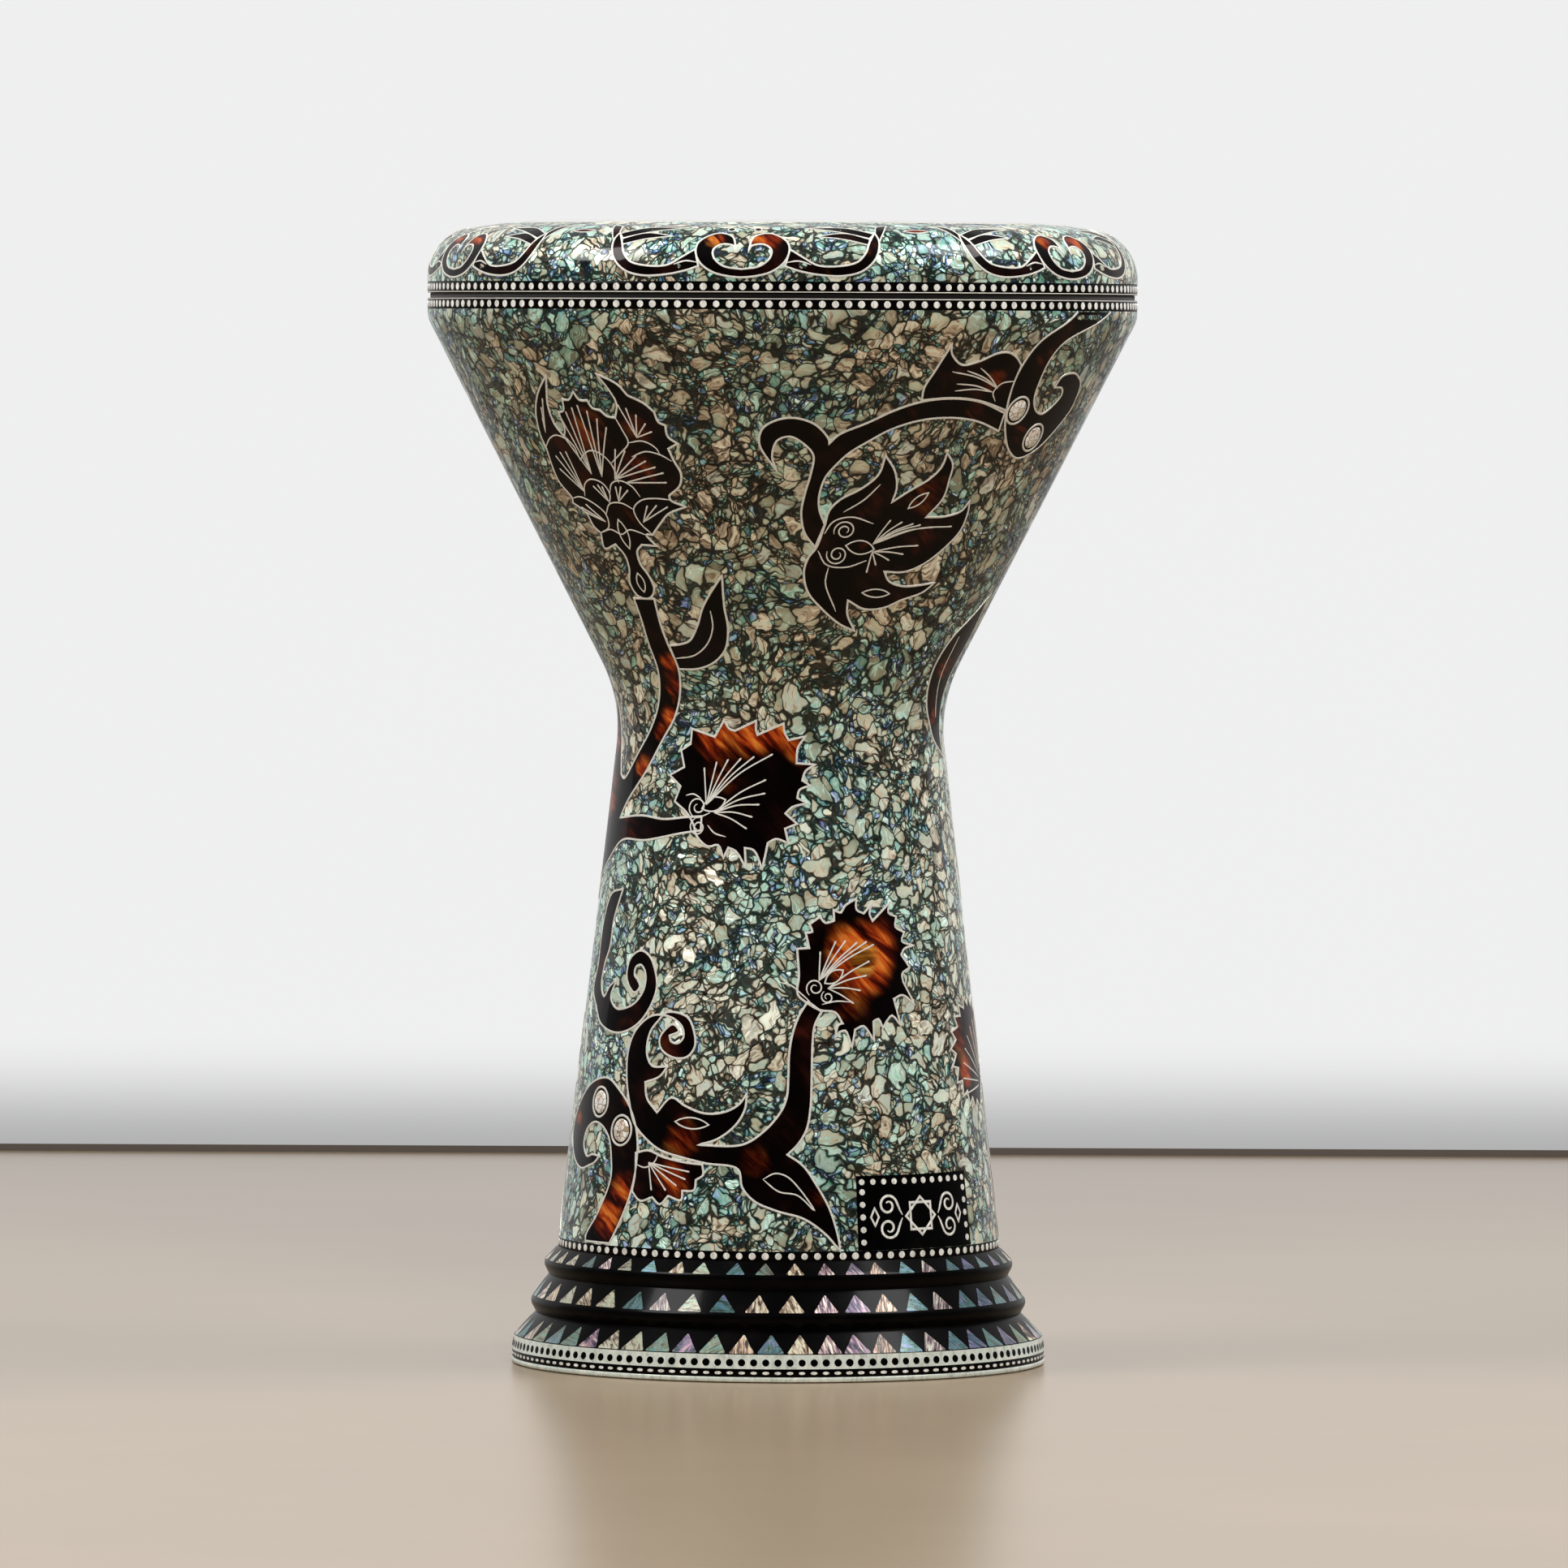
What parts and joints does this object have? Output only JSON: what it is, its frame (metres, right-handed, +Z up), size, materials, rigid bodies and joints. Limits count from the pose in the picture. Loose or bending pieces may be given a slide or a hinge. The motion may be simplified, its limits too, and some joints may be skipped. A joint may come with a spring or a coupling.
{
  "type": "goblet drum",
  "caption": "Goblet-shaped hand drum with a shell-inlaid cast body, stepped foot and a head drawn tight by an internally screwed tuning ring.",
  "frame": {"origin": "centre of the face that the foot rests on", "axes": "+Z up along the drum's axis, from foot to head; -Y is the front, with the leaning blossoms and the panel to its right (+X)"},
  "size_m": [0.28, 0.28, 0.45],
  "materials": {
    "cast_aluminium": "bead-blasted casting, machined on its seats",
    "abalone_mosaic": "abalone chips in black resin under clear lacquer",
    "dotted_strip": "polished black resin with pearl dots",
    "black_lacquer": "polished black lacquer",
    "pearl_shell": "polished shell",
    "pearl_strip": "polished white shell",
    "polyester_film": "frosted film",
    "hoop_aluminium": "rolled channel",
    "hoop_resin": "cast epoxy",
    "plated_steel": "zinc plated"
  },
  "bodies": {
    "shell": {"shell_casting": "cast_aluminium", "shell_mosaic": "abalone_mosaic", "shell_dot_strip": "dotted_strip", "skirt_panel": "black_lacquer", "pearl_cabochons": "pearl_shell", "foot_lacquer": "black_lacquer", "foot_triangles_upper": "pearl_shell", "foot_triangles_middle": "pearl_shell", "foot_triangles_lower": "pearl_shell", "foot_dot_strip": "dotted_strip", "foot_pearl_band": "pearl_strip", "foot_edge_strip": "dotted_strip", "foot_pearl_edge": "pearl_strip", "head_film": "polyester_film", "head_hoop": "hoop_aluminium", "hoop_resin": "hoop_resin", "screw_washers": "plated_steel"},
    "ring": {"tuning_ring": "cast_aluminium", "ring_mosaic": "abalone_mosaic", "ring_dot_strip": "dotted_strip"},
    "tuning_screw_1": {"tuning_screw_1": "plated_steel"},
    "tuning_screw_2": {"tuning_screw_2": "plated_steel"},
    "tuning_screw_3": {"tuning_screw_3": "plated_steel"},
    "tuning_screw_4": {"tuning_screw_4": "plated_steel"},
    "tuning_screw_5": {"tuning_screw_5": "plated_steel"},
    "tuning_screw_6": {"tuning_screw_6": "plated_steel"},
    "tuning_screw_7": {"tuning_screw_7": "plated_steel"},
    "tuning_screw_8": {"tuning_screw_8": "plated_steel"}
  },
  "joints": [
    {"name": "ring_travel", "type": "slide", "parent": "shell", "child": "ring", "axis": [0, 0, 1], "range_m": [0, 0.016]},
    {"name": "tuning_screw_1_turn", "type": "hinge", "parent": "shell", "child": "tuning_screw_1", "pos_m": [0.12408, 0, 0.4114], "axis": [0, 0, 1], "range_deg": [-5761, 0]},
    {"name": "tuning_screw_2_turn", "type": "hinge", "parent": "shell", "child": "tuning_screw_2", "pos_m": [0.08774, 0.08774, 0.4114], "axis": [0, 0, 1], "range_deg": [-5761, 0]},
    {"name": "tuning_screw_3_turn", "type": "hinge", "parent": "shell", "child": "tuning_screw_3", "pos_m": [0, 0.12408, 0.4114], "axis": [0, 0, 1], "range_deg": [-5761, 0]},
    {"name": "tuning_screw_4_turn", "type": "hinge", "parent": "shell", "child": "tuning_screw_4", "pos_m": [-0.08774, 0.08774, 0.4114], "axis": [0, 0, 1], "range_deg": [-5761, 0]},
    {"name": "tuning_screw_5_turn", "type": "hinge", "parent": "shell", "child": "tuning_screw_5", "pos_m": [-0.12408, 0, 0.4114], "axis": [0, 0, 1], "range_deg": [-5761, 0]},
    {"name": "tuning_screw_6_turn", "type": "hinge", "parent": "shell", "child": "tuning_screw_6", "pos_m": [-0.08774, -0.08774, 0.4114], "axis": [0, 0, 1], "range_deg": [-5761, 0]},
    {"name": "tuning_screw_7_turn", "type": "hinge", "parent": "shell", "child": "tuning_screw_7", "pos_m": [0, -0.12408, 0.4114], "axis": [0, 0, 1], "range_deg": [-5761, 0]},
    {"name": "tuning_screw_8_turn", "type": "hinge", "parent": "shell", "child": "tuning_screw_8", "pos_m": [0.08774, -0.08774, 0.4114], "axis": [0, 0, 1], "range_deg": [-5761, 0]}
  ],
  "couplings": [
    {"joint": "tuning_screw_1_turn", "follows": "ring_travel", "rad_per_m": -6283.2},
    {"joint": "tuning_screw_2_turn", "follows": "ring_travel", "rad_per_m": -6283.2},
    {"joint": "tuning_screw_3_turn", "follows": "ring_travel", "rad_per_m": -6283.2},
    {"joint": "tuning_screw_4_turn", "follows": "ring_travel", "rad_per_m": -6283.2},
    {"joint": "tuning_screw_5_turn", "follows": "ring_travel", "rad_per_m": -6283.2},
    {"joint": "tuning_screw_6_turn", "follows": "ring_travel", "rad_per_m": -6283.2},
    {"joint": "tuning_screw_7_turn", "follows": "ring_travel", "rad_per_m": -6283.2},
    {"joint": "tuning_screw_8_turn", "follows": "ring_travel", "rad_per_m": -6283.2}
  ]
}
